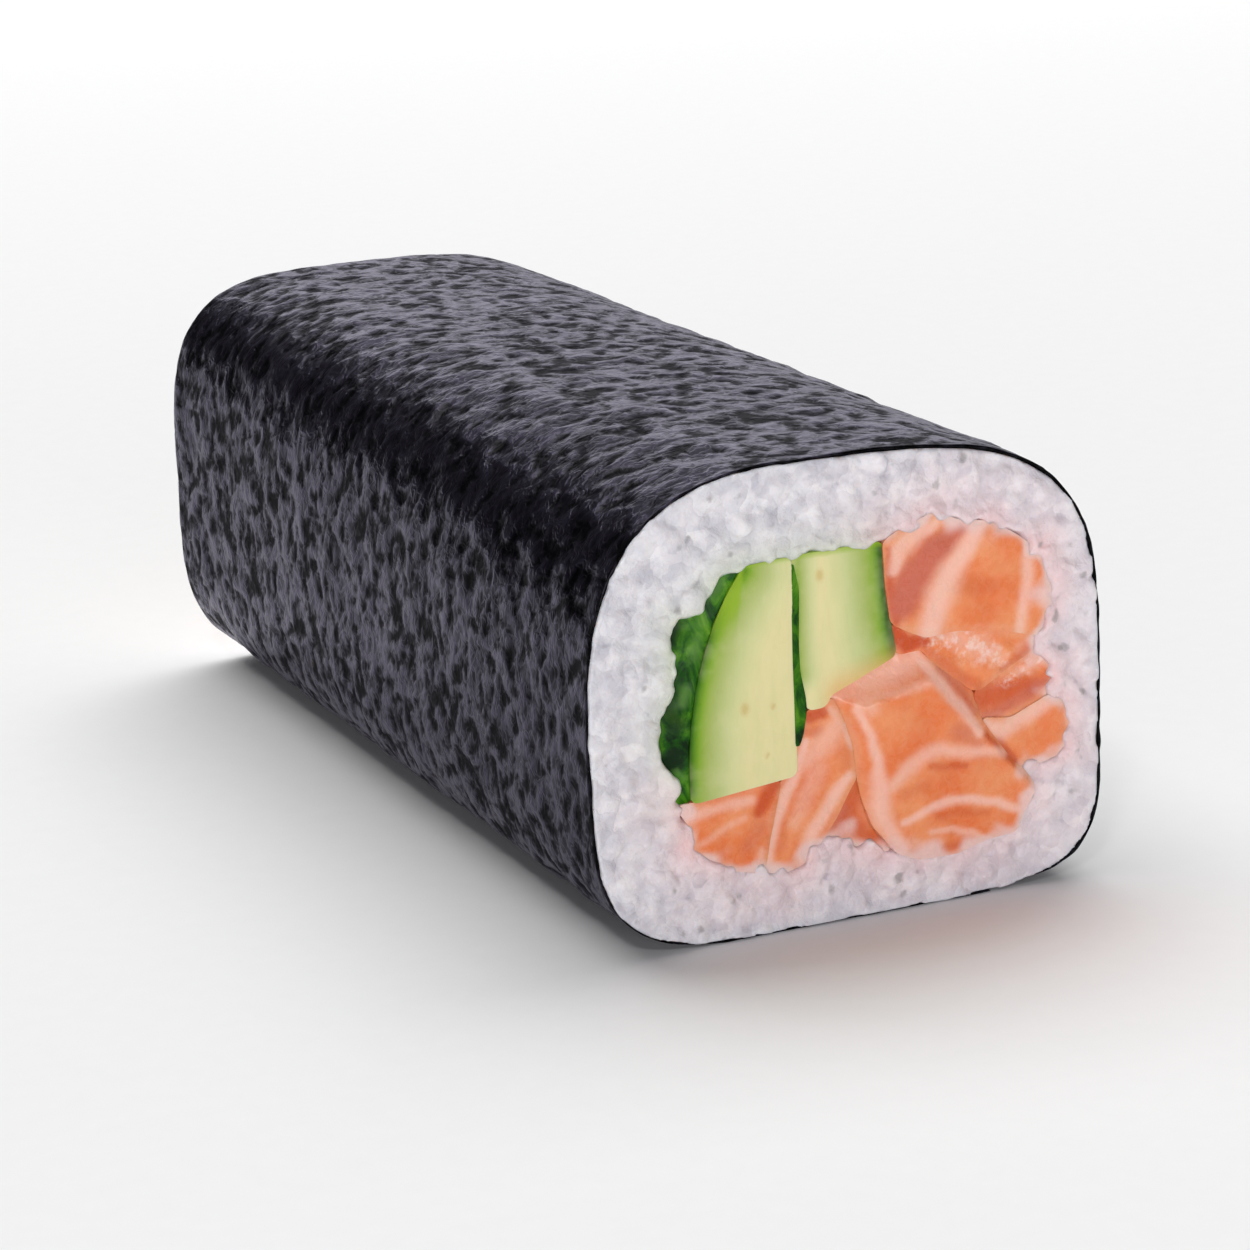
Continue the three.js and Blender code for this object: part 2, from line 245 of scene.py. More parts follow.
def section_point(angle, y, depth):
    """(x, z) of the roll's outer surface at an angle round the hub, moved in by a depth."""
    angle, y, depth = np.broadcast_arrays(*(np.asarray(v, float) for v in (angle, y, depth)))
    c, s = np.cos(angle), np.sin(angle)
    along = y / ROLL_LENGTH + 0.5
    power = np.zeros_like(angle)
    for (vertical, side), (front, back) in SQUARENESS.items():
        here = ((s >= 0) == (vertical == "top")) & ((c >= 0) == (side == "right"))
        power = np.where(here, front + (back - front) * along, power)
    inwards = depth - wave(angle, y)
    across = np.where(c >= 0, ROLL_WIDTH / 2 - HUB_X, ROLL_WIDTH / 2 + HUB_X) - inwards
    up = np.where(s >= 0, ROLL_HEIGHT - HUB_Z, HUB_Z + FOOT_FLAT) - inwards
    radius = (np.abs(c / across) ** power + np.abs(s / up) ** power) ** (-1 / power)
    return np.stack([HUB_X + radius * c, np.maximum(HUB_Z + radius * s, depth)], -1)


def around_hub(flat):
    """Angle round the hub and distance from it of (x, z) points."""
    across, up = (flat - (HUB_X, HUB_Z)).T
    return np.arctan2(up, across), np.hypot(across, up)


LAP_START, LAP_END = (math.atan2(-HUB_Z, x - HUB_X) for x in LAP_ENDS_X)


def lap_depth(angle):
    """Depth of the sheet's inner end, which the outer end laps over."""
    return (NORI_THICKNESS + LAP_GAP) * (1 - smoothstep(angle, LAP_END, LAP_END + LAP_BLEND))


def rice_depth(angle):
    rise = smoothstep(angle, LAP_START - LAP_BLEND, LAP_START)
    return NORI_THICKNESS + rise * lap_depth(angle)


# ---- material helpers ----
class Shader:
    """A node material with one Principled surface, and short ways to add nodes to it."""

    def __init__(self, name):
        self.material = bpy.data.materials.new(name)
        self.material.use_nodes = True
        self.tree = self.material.node_tree
        self.surface = self.tree.nodes["Principled BSDF"]

    def node(self, kind, inputs=None, **settings):
        made = self.tree.nodes.new("ShaderNode" + kind)
        for key, value in settings.items():
            setattr(made, key, value)
        for key, value in (inputs or {}).items():
            self.feed(made.inputs[key], value)
        return made

    def feed(self, socket, value):
        if isinstance(value, bpy.types.NodeSocket):
            self.tree.links.new(value, socket)
        else:
            socket.default_value = value

    def set(self, **values):
        for key, value in values.items():
            self.feed(self.surface.inputs[key.replace("_", " ")], value)

    def attribute(self, name):
        return self.node("Attribute", attribute_name=name).outputs["Fac"]

    def place(self, scale=(1, 1, 1), source="Object"):
        coordinates = self.node("TexCoord").outputs[source]
        return self.node("Mapping", {"Vector": coordinates, "Scale": scale}).outputs[0]

    def noise(self, vector, scale, detail=3.0, roughness=0.55, distortion=0.0):
        return self.node("TexNoise", {
            "Vector": vector, "Scale": scale, "Detail": detail,
            "Roughness": roughness, "Distortion": distortion}).outputs["Fac"]

    def spread(self, value, low, high, to_low=0.0, to_high=1.0):
        return self.node("MapRange", {
            "Value": value, "From Min": low, "From Max": high,
            "To Min": to_low, "To Max": to_high}, interpolation_type="SMOOTHSTEP").outputs[0]

    def mix(self, share, first, second):
        inputs = {0: share, 6: first, 7: second}
        return self.node("Mix", inputs, data_type="RGBA").outputs[2]

    def math(self, operation, a, b=0.0):
        return self.node("Math", {0: a, 1: b}, operation=operation).outputs[0]

    def stain(self, colour, **stains):
        """A colour with others over it, each where the attribute of its name says."""
        for name, stain in stains.items():
            colour = self.mix(self.attribute(name), colour, tone(*stain))
        return colour

    def ramp(self, value, stops):
        """Colours by value, from stops of a value and a tone's red, green and blue."""
        made = self.node("ValToRGB", {"Fac": value})
        elements = made.color_ramp.elements
        while len(elements) < len(stops):
            elements.new(0.5)
        for element, (place, *colour) in zip(elements, stops):
            element.position = place
            element.color = tone(*colour)
        return made.outputs["Color"]

    def bump(self, height, distance, strength):
        """Normals of a relief whose full height is a distance in metres."""
        return self.node("Bump", {
            "Height": height, "Distance": distance, "Strength": strength}).outputs["Normal"]


def tone(*screen):
    """A colour from its red, green and blue screen values, 0 to 255."""
    v = np.array(screen) / 255
    return (*np.where(v <= 0.04045, v / 12.92, ((v + 0.055) / 1.055) ** 2.4), 1.0)


# ---- materials ----
def nori_material():
    look = Shader("nori")
    sheet = look.place((0.8, 1.0, 1.0), source="UV")
    fibre = look.noise(sheet, 1000, 2, 0.5, 0.6)
    thread = look.math("ABSOLUTE", look.math("SUBTRACT", fibre, 0.5))
    thread = look.spread(thread, 0.0, 0.12, 1, 0)
    height = look.math("ADD", look.math("MULTIPLY", look.attribute("relief"), 0.82),
                       look.math("MULTIPLY", thread, 0.2))
    # Colour by relief: the pits are painted near black, painted shade in the sheet's hollows, and
    # the strands violet-grey, the sheet's own hue made lighter as painted light on its raised
    # fibres.
    shade = look.ramp(height, [
        (0.20, 2, 2, 3),
        (0.42, 12, 10, 14),
        (0.62, 27, 24, 33),
        (0.90, 47, 43, 58),
    ])
    speck = look.node("TexVoronoi", {"Vector": sheet, "Scale": 160})
    near = look.spread(speck.outputs["Distance"], 0.0, 0.08, 1, 0)
    rare = look.spread(look.noise(sheet, 60, 0), 0.64, 0.68)
    shade = look.mix(look.math("MULTIPLY", near, rare), shade, tone(150, 128, 74))
    look.set(Base_Color=shade, Roughness=look.spread(height, 0.1, 0.7, 0.7, 0.3),
             Metallic=look.spread(height, 0.0, 0.75, 0.22, 0.78),
             Specular_IOR_Level=0.0, Specular_Tint=(0.88, 0.86, 1.0, 1.0),
             Coat_Roughness=0.24, Coat_IOR=1.5,
             Coat_Weight=look.spread(height, 0.1, 0.95, 0.08, 0.26))
    relief = look.bump(height, 0.0001, 1.0)
    look.set(Normal=relief, Coat_Normal=relief)
    return look.material


def rice_material():
    look = Shader("rice")
    spot = look.place()
    cloud = look.noise(spot, 520, 4, 0.6, 0.4)
    warp = look.node("TexNoise", {"Vector": spot, "Scale": 800, "Detail": 2})
    bent = look.node("VectorMath", {0: warp.outputs["Color"], 1: (0.0011,) * 3, 2: spot},
                     operation="MULTIPLY_ADD")
    bit = look.node("TexVoronoi", {"Vector": bent.outputs[0], "Scale": 640})
    shade = look.math("ADD", look.math("MULTIPLY", bit.outputs["Color"], 0.5),
                      look.spread(cloud, 0.34, 0.66, 0.0, 0.5))
    white = look.mix(shade, tone(200, 198, 205), tone(242, 240, 240))
    # pink and green are painted light reflected from the salmon and the cucumber; the grey spots
    # are painted shade in small pits.
    grains = look.stain(white, pink=(242, 204, 202), green=(198, 208, 178), pit=(140, 136, 134))
    look.set(Base_Color=grains, Roughness=look.spread(cloud, 0.3, 0.7, 0.28, 0.46), IOR=1.4,
             Subsurface_Weight=0.8, Subsurface_Scale=0.0012, Subsurface_Radius=(1.0, 0.85, 0.75))
    lumps = look.noise(spot, 1100, 3, 0.6, 0.3)
    bits = look.math("SUBTRACT", lumps, look.math("MULTIPLY", bit.outputs["Distance"], 1.2))
    look.set(Normal=look.bump(bits, 0.0003, 0.75))
    return look.material


def cucumber_flesh_material():
    look = Shader("cucumber_flesh")
    spot = look.place()
    grain = look.noise(look.place((1.0, 1.0, 0.3)), 1000)
    blotch = look.noise(spot, 330)
    flesh = look.ramp(look.math("DIVIDE", look.attribute("rind"), 5.6), [
        (0.0, 30, 78, 0),
        (0.036, 54, 106, 4),
        (0.07, 86, 136, 20),
        (0.16, 132, 170, 50),
        (0.25, 158, 180, 86),
        (0.34, 172, 189, 108),
        (0.43, 184, 196, 124),
        (0.61, 204, 210, 148),
        (0.79, 220, 218, 160),
        (0.96, 228, 220, 164),
    ])
    flesh = look.mix(look.spread(grain, 0.35, 0.75, 0, 0.1), flesh, tone(170, 186, 98))
    flesh = look.mix(look.spread(blotch, 0.45, 0.7, 0, 0.16), flesh, tone(232, 226, 176))
    flesh = look.stain(flesh, wedge=(148, 182, 44), seed=(198, 164, 84), blush=(226, 178, 110))
    look.set(Base_Color=flesh, Roughness=look.spread(blotch, 0.2, 0.8, 0.24, 0.4), IOR=1.36,
             Specular_IOR_Level=0.25, Subsurface_Weight=0.2, Subsurface_Scale=0.0007,
             Subsurface_Radius=(1.0, 1.0, 0.45), Normal=look.bump(grain, 0.0001, 0.5))
    return look.material


def cucumber_skin_material():
    look = Shader("cucumber_skin")
    spot = look.place()
    mottle = look.noise(look.place((1.3, 1.0, 0.75)), 400, 4, 0.6, 0.9)
    skin = look.ramp(mottle, [
        (0.36, 0, 34, 0),
        (0.47, 20, 76, 0),
        (0.57, 58, 116, 4),
        (0.68, 96, 146, 34),
    ])
    skin = look.stain(skin, light=(92, 136, 60), shade=(0, 30, 0))
    look.set(Base_Color=skin, Roughness=0.36, IOR=1.4, Specular_IOR_Level=0.2,
             Normal=look.bump(look.noise(spot, 900), 0.00015, 0.5))
    return look.material


def salmon_material():
    look = Shader("salmon")
    spot = look.place()
    cloud = look.noise(spot, 260)
    fibre = look.noise(look.place((1.0, 0.4, 1.0)), 1300, 4, 0.6, 0.8)
    flesh = look.mix(look.spread(cloud, 0.3, 0.7), tone(232, 120, 60), tone(240, 152, 98))
    flesh = look.mix(look.spread(fibre, 0.4, 0.75, 0, 0.25), flesh, tone(238, 160, 118))
    # The dark orange is partly painted shade in clefts and gaps; the pale starch stain is partly
    # painted light that lifts the shade where the rice laps over the salmon.
    flesh = look.stain(flesh, deep=(204, 80, 26), rose=(204, 106, 84), fat=(250, 200, 180),
                       smear=(238, 204, 196))
    # Small white specks along the marked lines: painted glints, highlights painted into the colour.
    painted_glint_mask = look.spread(look.noise(look.place(), 1500, 3, 0.6), 0.42, 0.72)
    painted_glint_mask = look.math("MULTIPLY", painted_glint_mask, look.attribute("painted_glint"))
    flesh = look.mix(painted_glint_mask, flesh, tone(255, 232, 222))
    look.set(Base_Color=flesh, Roughness=look.spread(fibre, 0.3, 0.7, 0.2, 0.36), IOR=1.4,
             Subsurface_Weight=0.4, Subsurface_Scale=0.0012, Subsurface_Radius=(1.0, 0.42, 0.24),
             Specular_IOR_Level=0.35, Coat_Weight=0.25, Coat_Roughness=0.1,
             Normal=look.bump(fibre, 0.00016, 0.55))
    return look.material


def floor_material():
    look = Shader("floor")
    paper = look.noise(look.place(), 400, 2)
    look.set(Base_Color=look.mix(paper, tone(243, 243, 243), tone(246, 246, 246)),
             Roughness=0.9, Specular_IOR_Level=0.1)
    return look.material


# ---- nori sheet ----
STRETCH = 1.2  # pits are longer round the roll than along it
BEND_SIZE, BEND = 3.0, 0.7
PIT_SIZE, PIT_DEPTH = 1.5, 0.15
PIT_FLOOR, PIT_BRIM = -0.72, 0.32
STRAND_SIZE, STRAND_WIDTH = 1.6, 0.24
WRINKLE_SIZE, WRINKLE_HEIGHT = 3.6, 0.28
LEVEL_RELIEF, LEVEL_WRINKLE = 0.7, 0.25  # values at which the sheet is at its CAD height
FOOT_REACH = (0.6, 2.0)  # heights between which the relief fades in above the foot
CUT_REACH, CUT_RELIEF = 4, 0.45
EDGE_SIZE, EDGE_RAGGED = 1.3, 0.22
SHEET_STEP = 0.43
HIDDEN_STEP = 1.8
LINING_ROWS = 12


def crinkle(s, y):
    """Relief of the dried sheet, 0 in its pits and 1 on its strands, and its slow wrinkles."""
    flat = np.column_stack([s / STRETCH, y])
    bent = flat + BEND * np.column_stack([noise_at(flat, BEND_SIZE, 6),
                                          noise_at(flat, BEND_SIZE, 7)])
    cloud = noise_at(bent, PIT_SIZE, 1) + 0.6 * noise_at(bent, PIT_SIZE / 2, 2)
    strand = np.clip(1 - np.abs(noise_at(bent, STRAND_SIZE, 3)) / STRAND_WIDTH, 0, 1)
    body = smoothstep(cloud, PIT_FLOOR, PIT_BRIM)
    return 0.62 * body + 0.38 * strand * (0.4 + 0.6 * body), noise_at(flat, WRINKLE_SIZE, 3)


def nori_cover(angle):
    """Share of the nori's edge that the rice hides: most at the left and underneath."""
    left = smoothstep(-np.cos(angle), -0.3, 0.5)
    under = smoothstep(-np.sin(angle), 0.35, 0.8)
    notches = 0.5 + 0.5 * np.sin(37 * angle) * np.sin(23 * angle + 1)
    right = (0.15 + 0.6 * notches) * smoothstep(np.cos(angle), 0.6, 0.95)
    return np.clip(0.08 + 0.88 * np.maximum(np.maximum(0.9 * left, under), right), 0, 0.96)


def sheet_columns():
    """Each column's place along the wound sheet, and its angle. More of them where it shows."""
    dense = np.linspace(LAP_START, LAP_END + 2 * math.pi, 3000)
    line = section_point(dense, 0.0, lap_depth(dense))
    length = np.concatenate([[0], np.cumsum(np.linalg.norm(np.diff(line, axis=0), axis=1))])
    step = np.where(dense < LAP_END, HIDDEN_STEP, SHEET_STEP)
    count = np.concatenate([[0], np.cumsum(np.diff(length) / step[1:])])
    arc = np.interp(np.linspace(0, count[-1], int(count[-1])), count, length)
    return arc, np.interp(arc, length, dense)


def sheet_faces(rows, columns):
    """Faces of the outer grid, of the lining after it, and of the four edges between them."""
    base = rows * columns
    last, last_lining = base - columns, base + (LINING_ROWS - 1) * columns
    faces = []
    for start, stop, b, d in ((0, last, columns, 1), (base, last_lining, 1, columns)):
        for row in range(start, stop, columns):
            for a in range(row, row + columns - 1):
                faces.append((a, a + b, a + columns + 1, a + d))
    for c in range(columns - 1):
        faces.append((c, c + 1, base + c + 1, base + c))
        faces.append((last + c, last_lining + c, last_lining + c + 1, last + c + 1))
    for c, order in ((0, -1), (columns - 1, 1)):
        rim = [*range(c, base, columns), *range(last_lining + c, base - 1, -columns)]
        faces.append(tuple(rim[::order]))
    return faces


def nori_sheet(material):
    arc, angle = sheet_columns()
    rows, columns = int(ROLL_LENGTH / SHEET_STEP), len(arc)
    outer_y, lining_y = (np.linspace(FRONT, BACK, count) for count in (rows, LINING_ROWS))

    def surface(y_rows, inward):
        grid_y, grid_a = np.meshgrid(y_rows, angle, indexing="ij")
        xz = section_point(grid_a, grid_y, lap_depth(angle) + inward)
        return np.stack([xz[..., 0], grid_y, xz[..., 1]], -1)

    outer, lining = surface(outer_y, 0.0), surface(lining_y, NORI_THICKNESS)
    along, across = np.tile(arc, rows), np.repeat(outer_y, columns)
    relief, wrinkle = (part.reshape(rows, columns) for part in crinkle(along, across))
    outward = outer - (HUB_X, 0, HUB_Z)
    outward[..., 1] = 0
    outward /= np.linalg.norm(outward, axis=-1, keepdims=True)
    lift = PIT_DEPTH * (relief - LEVEL_RELIEF) + WRINKLE_HEIGHT * (wrinkle - LEVEL_WRINKLE)
    lift = lift * smoothstep(outer[..., 2], *FOOT_REACH)
    inland = smoothstep(BACK - np.abs(outer_y), 0, CUT_REACH)[:, None]
    outer = outer + outward * (lift * (CUT_RELIEF + (1 - CUT_RELIEF) * inland))[..., None]
    cover = nori_cover(angle)
    ragged = noise_at(np.column_stack([arc, arc * 0]), EDGE_SIZE, 5)
    ragged = EDGE_RAGGED * ragged * (1 - 0.6 * cover) + 0.16 * cover
    for grid in (outer, lining):
        grid[0, :, 1] += ragged
        grid[-1, :, 1] -= ragged
    spots = np.vstack([outer.reshape(-1, 3), lining.reshape(-1, 3)])
    values = np.concatenate([relief.ravel(), np.zeros(LINING_ROWS * columns)])
    uv = np.column_stack([np.tile(arc, rows + LINING_ROWS),
                          np.concatenate([across, np.repeat(lining_y, columns)])]) * MM
    return make_piece("nori_sheet", "nori_wrap", spots, sheet_faces(rows, columns), material,
                      {"relief": values}, uv)


# ---- filling ----
CAP_STEP = 0.28
CAP_ROW = 0.87 * CAP_STEP  # for even triangles
CAP_JITTER, CAP_MARGIN = 0.18, 0.6  # as shares of the step
HUG = 0.22  # how far a piece grows into the gap round its CAD solid
SIDE_RINGS = (0.4, 1.2, 3.0, 8.0, 50.0)  # in mm from each cut
RIM_WIDTH = 0.7
SALMON_DIP, CUCUMBER_DIP = 0.05, 0.04  # how far a cut face sinks at its rim
WOBBLE_SIZE, WOBBLE = 1.6, 0.22


def cap_points(outline):
    """Points and triangles that fill an outline; the outline's own points come first."""
    low, high = outline.min(0), outline.max(0)
    rng = np.random.default_rng(SEED)
    xs = np.arange(low[0], high[0], CAP_STEP)
    zs = np.arange(low[1], high[1], CAP_ROW)
    grid = np.array([(x + (row % 2) * CAP_STEP / 2, z) for row, z in enumerate(zs) for x in xs])
    grid += rng.uniform(-CAP_JITTER, CAP_JITTER, grid.shape) * CAP_STEP
    gap = gap_to(outline, grid)
    grid = grid[inside(grid, outline) & (gap > CAP_STEP * CAP_MARGIN)]
    spots = [Vector(p) for p in np.vstack([outline, grid])]
    rim = [list(range(len(outline)))]
    made = geometry.delaunay_2d_cdt(spots, [], rim, 1, 1e-6)
    return np.array([tuple(v) for v in made[0]]), [tuple(f) for f in made[2]]


def filling_piece(node, height, material, paint, dip, hug=HUG):
    """A straight piece of filling with a worked surface at both its cut ends.

    For (x, z) points in the cut face, height gives how far they stand out of the cut and
    paint the attributes that colour them.
    """
    loop = section(node)[0]
    outline = resample(grow(smooth_loop(resample(loop, 0.2), 1), hug), CAP_STEP)
    flat, triangles = cap_points(outline)
    count, rim = len(flat), len(outline)
    gap = gap_to(outline, flat)
    out = height(flat) - dip * (1 - smoothstep(gap, 0, RIM_WIDTH))
    spots, faces = [], []
    for side, end in ((-1, FRONT), (1, BACK)):
        start = len(spots)
        spots.extend(at_y(flat, end + side * out))
        faces.extend(tuple(start + k for k in triangle[::-side]) for triangle in triangles)
    rings = [FRONT - out[:rim] + inset for inset in SIDE_RINGS]
    rings += [BACK + out[:rim] - inset for inset in reversed(SIDE_RINGS)]
    previous = 0
    for y in rings:
        here = len(spots)
        spots.extend(at_y(outline, y))
        faces.extend(strip(previous, here, rim))
        previous = here
    faces.extend(strip(previous, count, rim))
    spots = np.array(spots)
    piece = make_piece(node + "_cut", node, spots, faces, material, paint(spots[:, [0, 2]]),
                       rims=[(0, rim), (count, count + rim)])


def strokes(flat, lines):
    """How strongly brush-like lines cover each (x, z) point.

    A line is its strength, its softness and its points as (x, z, half width).
    """
    wobble = np.column_stack([
        noise_at(np.column_stack([flat, np.full(len(flat), level)]), WOBBLE_SIZE, seed)
        for level, seed in ((9.0, 3), (4.0, 4))])
    spots = flat + WOBBLE * wobble
    cover = np.zeros(len(flat))
    for strength, softness, *line in lines:
        line = np.array(line)
        gap, where = distance_to_path(spots, line[:, :2])
        half = np.interp(where, np.arange(len(line)), line[:, 2])
        edge = smoothstep(gap / half, 1 - softness, 1 + softness)
        cover = np.maximum(cover, strength * (1 - edge))
    return cover


# Each piece of salmon: out is how far it stands out of the cut and rough the height of its
# fine relief. Its markings are lines for strokes(): fat is white, rose is dull red, deep is
# dark orange, partly the flesh's own darker red and partly painted shade in clefts, gaps and
# seams, and wet marks painted glints, small white specks of highlight.
SALMON = {
    "salmon_upper_right": dict(
        out=0.1,
        fat=[(0.85, 0.8, (12.6, 32.6, 0.6), (11.2, 30.8, 0.9), (9.6, 28.9, 1.1), (8.4, 26.8, 1.2),
              (7.6, 24.0, 1.1)),
             (0.75, 0.85, (17.4, 31.0, 0.6), (17.0, 28.5, 0.65), (16.7, 26.0, 0.6),
              (16.1, 22.8, 0.55)),
             (0.75, 0.7, (4.2, 29.6, 0.5), (4.7, 31.4, 0.8), (6.4, 32.5, 0.8), (8.4, 33.2, 0.4)),
             (0.8, 0.8, (19.4, 29.5, 0.8), (19.7, 26.0, 0.5), (19.2, 23.0, 0.5)),
             (0.5, 0.8, (13.0, 33.1, 0.5), (15.6, 32.0, 0.6), (18.0, 30.2, 0.7))],
        rose=[(0.9, 0.6, (5.0, 26.4, 1.2), (6.0, 28.8, 1.9), (8.2, 31.0, 1.5), (10.8, 32.4, 0.7))],
        deep=[(0.35, 0.9, (10.9, 27.6, 0.9), (13.4, 27.0, 0.7)),
              (0.8, 0.8, (3.8, 31.6, 0.3), (3.9, 28.0, 0.4), (4.3, 25.2, 0.5))],
    ),
    "salmon_shining": dict(
        out=-0.15, rough=0.16,
        painted_glint=[(0.6, 0.9, (8.0, 23.4, 0.9), (10.4, 22.6, 1.3), (12.6, 21.6, 1.2), (14.6, 20.6, 0.6))],
        fat=[(0.45, 0.9, (8.4, 23.6, 0.5), (10.6, 22.8, 0.9), (12.4, 21.8, 1.0),
              (14.4, 20.6, 0.6))],
        deep=[(1.0, 0.5, (4.2, 24.2, 0.9), (5.4, 23.2, 0.9), (7.2, 23.1, 0.5)),
              (0.5, 0.8, (7.0, 22.8, 0.4), (9.5, 20.4, 0.45), (12.2, 18.2, 0.5)),
              (0.6, 0.8, (14.5, 19.6, 0.3), (17.4, 21.2, 0.4))],
    ),
    "salmon_dark_right": dict(
        out=-0.25, rough=0.12,
        painted_glint=[(0.55, 0.9, (14.6, 18.4, 0.5), (16.4, 19.2, 0.7), (18.0, 19.8, 0.5))],
        fat=[(0.5, 0.9, (16.0, 19.2, 0.4), (18.2, 19.6, 0.5))],
        deep=[(0.8, 0.7, (12.4, 17.3, 1.2), (15.0, 17.6, 1.1), (17.4, 17.8, 0.8))],
        rose=[(0.7, 0.8, (13.0, 15.6, 0.5), (16.4, 16.6, 0.6), (19.0, 18.0, 0.6))],
    ),
    "salmon_lower_right": dict(
        out=-0.05,
        fat=[(0.8, 0.85, (12.3, 15.2, 0.5), (14.3, 14.2, 0.8), (16.4, 15.1, 0.7), (19.0, 16.3, 0.7),
              (20.4, 16.6, 0.6)),
             (0.7, 0.8, (20.9, 15.4, 0.5), (21.2, 13.0, 0.5), (20.4, 11.2, 0.5))],
        deep=[(0.8, 0.6, (13.9, 13.6, 0.3), (15.4, 11.2, 0.4))],
    ),
    "salmon_centre_block": dict(
        out=0.6,
        fat=[(0.5, 0.9, (-1.8, 19.8, 0.4), (1.6, 19.1, 0.4), (5.0, 19.4, 0.4), (7.6, 19.8, 0.4)),
             (0.85, 0.8, (6.2, 22.4, 0.5), (7.6, 20.4, 0.55), (9.2, 18.2, 0.5), (10.8, 16.4, 0.5),
              (11.9, 14.7, 0.5)),
             (0.8, 0.85, (0.4, 18.4, 0.4), (1.4, 16.2, 0.4), (2.1, 13.6, 0.45), (2.3, 11.2, 0.85),
              (2.3, 9.0, 0.85), (3.2, 7.0, 0.7), (4.2, 5.6, 0.6)),
             (0.65, 0.9, (3.2, 11.2, 0.5), (4.6, 12.4, 0.6), (6.4, 13.4, 0.65), (8.2, 13.7, 0.6),
              (10.2, 13.1, 0.55), (12.2, 12.8, 0.5), (14.2, 12.4, 0.4)),
             (0.8, 0.8, (4.4, 7.8, 0.3), (6.4, 8.6, 0.38), (8.6, 9.1, 0.42), (11.0, 8.9, 0.38),
              (13.4, 8.2, 0.36), (15.6, 7.1, 0.4), (16.4, 5.8, 0.5)),
             (0.6, 0.8, (7.0, 6.6, 0.25), (9.0, 6.5, 0.3), (10.8, 5.9, 0.3), (11.8, 5.2, 0.3)),
             (0.7, 0.9, (-1.0, 20.6, 1.1), (2.4, 20.9, 1.5), (5.4, 21.4, 1.3)),
             (0.5, 0.9, (0.8, 19.4, 0.9), (1.6, 18.2, 0.6)),
             (0.6, 0.9, (17.4, 9.8, 0.5), (17.0, 7.8, 0.6), (15.8, 5.6, 0.4))],
        deep=[(0.6, 0.8, (7.2, 12.3, 0.3), (9.0, 12.1, 0.4), (10.4, 11.9, 0.3)),
              (0.3, 0.9, (4.6, 10.4, 0.6), (6.4, 10.8, 0.5)),
              (0.4, 0.8, (7.6, 7.9, 0.35), (9.6, 8.0, 0.4), (12.4, 7.4, 0.3)),
              (0.55, 0.8, (5.0, 4.9, 0.5), (7.4, 4.7, 0.5), (9.8, 5.0, 0.4)),
              (0.8, 0.6, (12.4, 14.4, 0.3), (13.8, 12.8, 0.3), (15.0, 11.3, 0.3))],
        rose=[(0.6, 0.7, (8.6, 20.4, 0.5), (10.4, 18.2, 0.6), (11.6, 16.4, 0.4)),
              (0.5, 0.9, (10.0, 15.0, 0.9), (11.8, 13.6, 0.6))],
    ),
    "salmon_wedge": dict(
        out=-0.3,
        deep=[(0.75, 0.8, (0.2, 11.6, 0.9), (-0.6, 8.6, 1.4), (1.2, 7.0, 1.0), (2.8, 5.8, 0.6))],
        rose=[(0.5, 0.9, (-2.0, 7.8, 0.6), (-0.8, 9.4, 0.6))],
    ),
    "salmon_slab": dict(
        out=-0.05,
        fat=[(0.8, 0.85, (-4.2, 16.2, 0.4), (-5.2, 13.8, 0.5), (-6.4, 11.6, 0.55), (-7.3, 9.6, 0.5),
              (-8.0, 7.4, 0.5), (-8.3, 5.6, 0.5)),
             (0.8, 0.85, (-0.2, 12.6, 0.4), (-1.6, 11.2, 0.6), (-3.0, 9.4, 0.65), (-4.2, 7.6, 0.65),
              (-4.9, 5.6, 0.6)),
             (0.6, 0.8, (-1.8, 18.6, 0.3), (-0.8, 17.0, 0.35), (0.0, 15.0, 0.3)),
             (0.55, 0.9, (-4.4, 14.6, 1.1), (-2.6, 15.8, 1.1), (-1.4, 17.0, 0.8)),
             (0.4, 0.9, (-3.2, 13.6, 0.9), (-4.4, 11.6, 0.8), (-5.4, 9.4, 0.6))],
        deep=[(0.9, 0.7, (-3.8, 18.4, 0.6), (-2.6, 18.4, 0.5)),
              (0.5, 0.9, (-4.2, 17.2, 0.5), (-3.0, 16.9, 0.5)),
              (0.3, 0.9, (-6.6, 9.4, 0.5), (-6.9, 7.4, 0.5)),
              (0.3, 0.9, (-0.8, 14.8, 0.6), (-0.6, 13.6, 0.5))],
    ),
    "salmon_lower_left": dict(
        out=0.0,
        fat=[(0.4, 0.9, (-14.6, 8.9, 0.25), (-12.4, 9.8, 0.3), (-10.0, 10.6, 0.25)),
             (0.6, 0.8, (-15.0, 11.6, 0.5), (-12.4, 11.9, 0.45), (-9.6, 12.0, 0.5)),
             (0.5, 0.8, (-9.0, 5.6, 0.6), (-8.6, 7.6, 0.3)),
             (0.35, 0.9, (-15.8, 9.4, 0.5), (-14.6, 7.8, 0.5), (-12.4, 6.6, 0.4))],
        deep=[(0.9, 0.7, (-7.2, 13.2, 0.7), (-8.2, 12.0, 0.7), (-8.9, 10.8, 0.4))],
        rose=[(0.35, 0.9, (-8.8, 9.6, 0.7), (-9.8, 8.0, 0.6))],
    ),
}

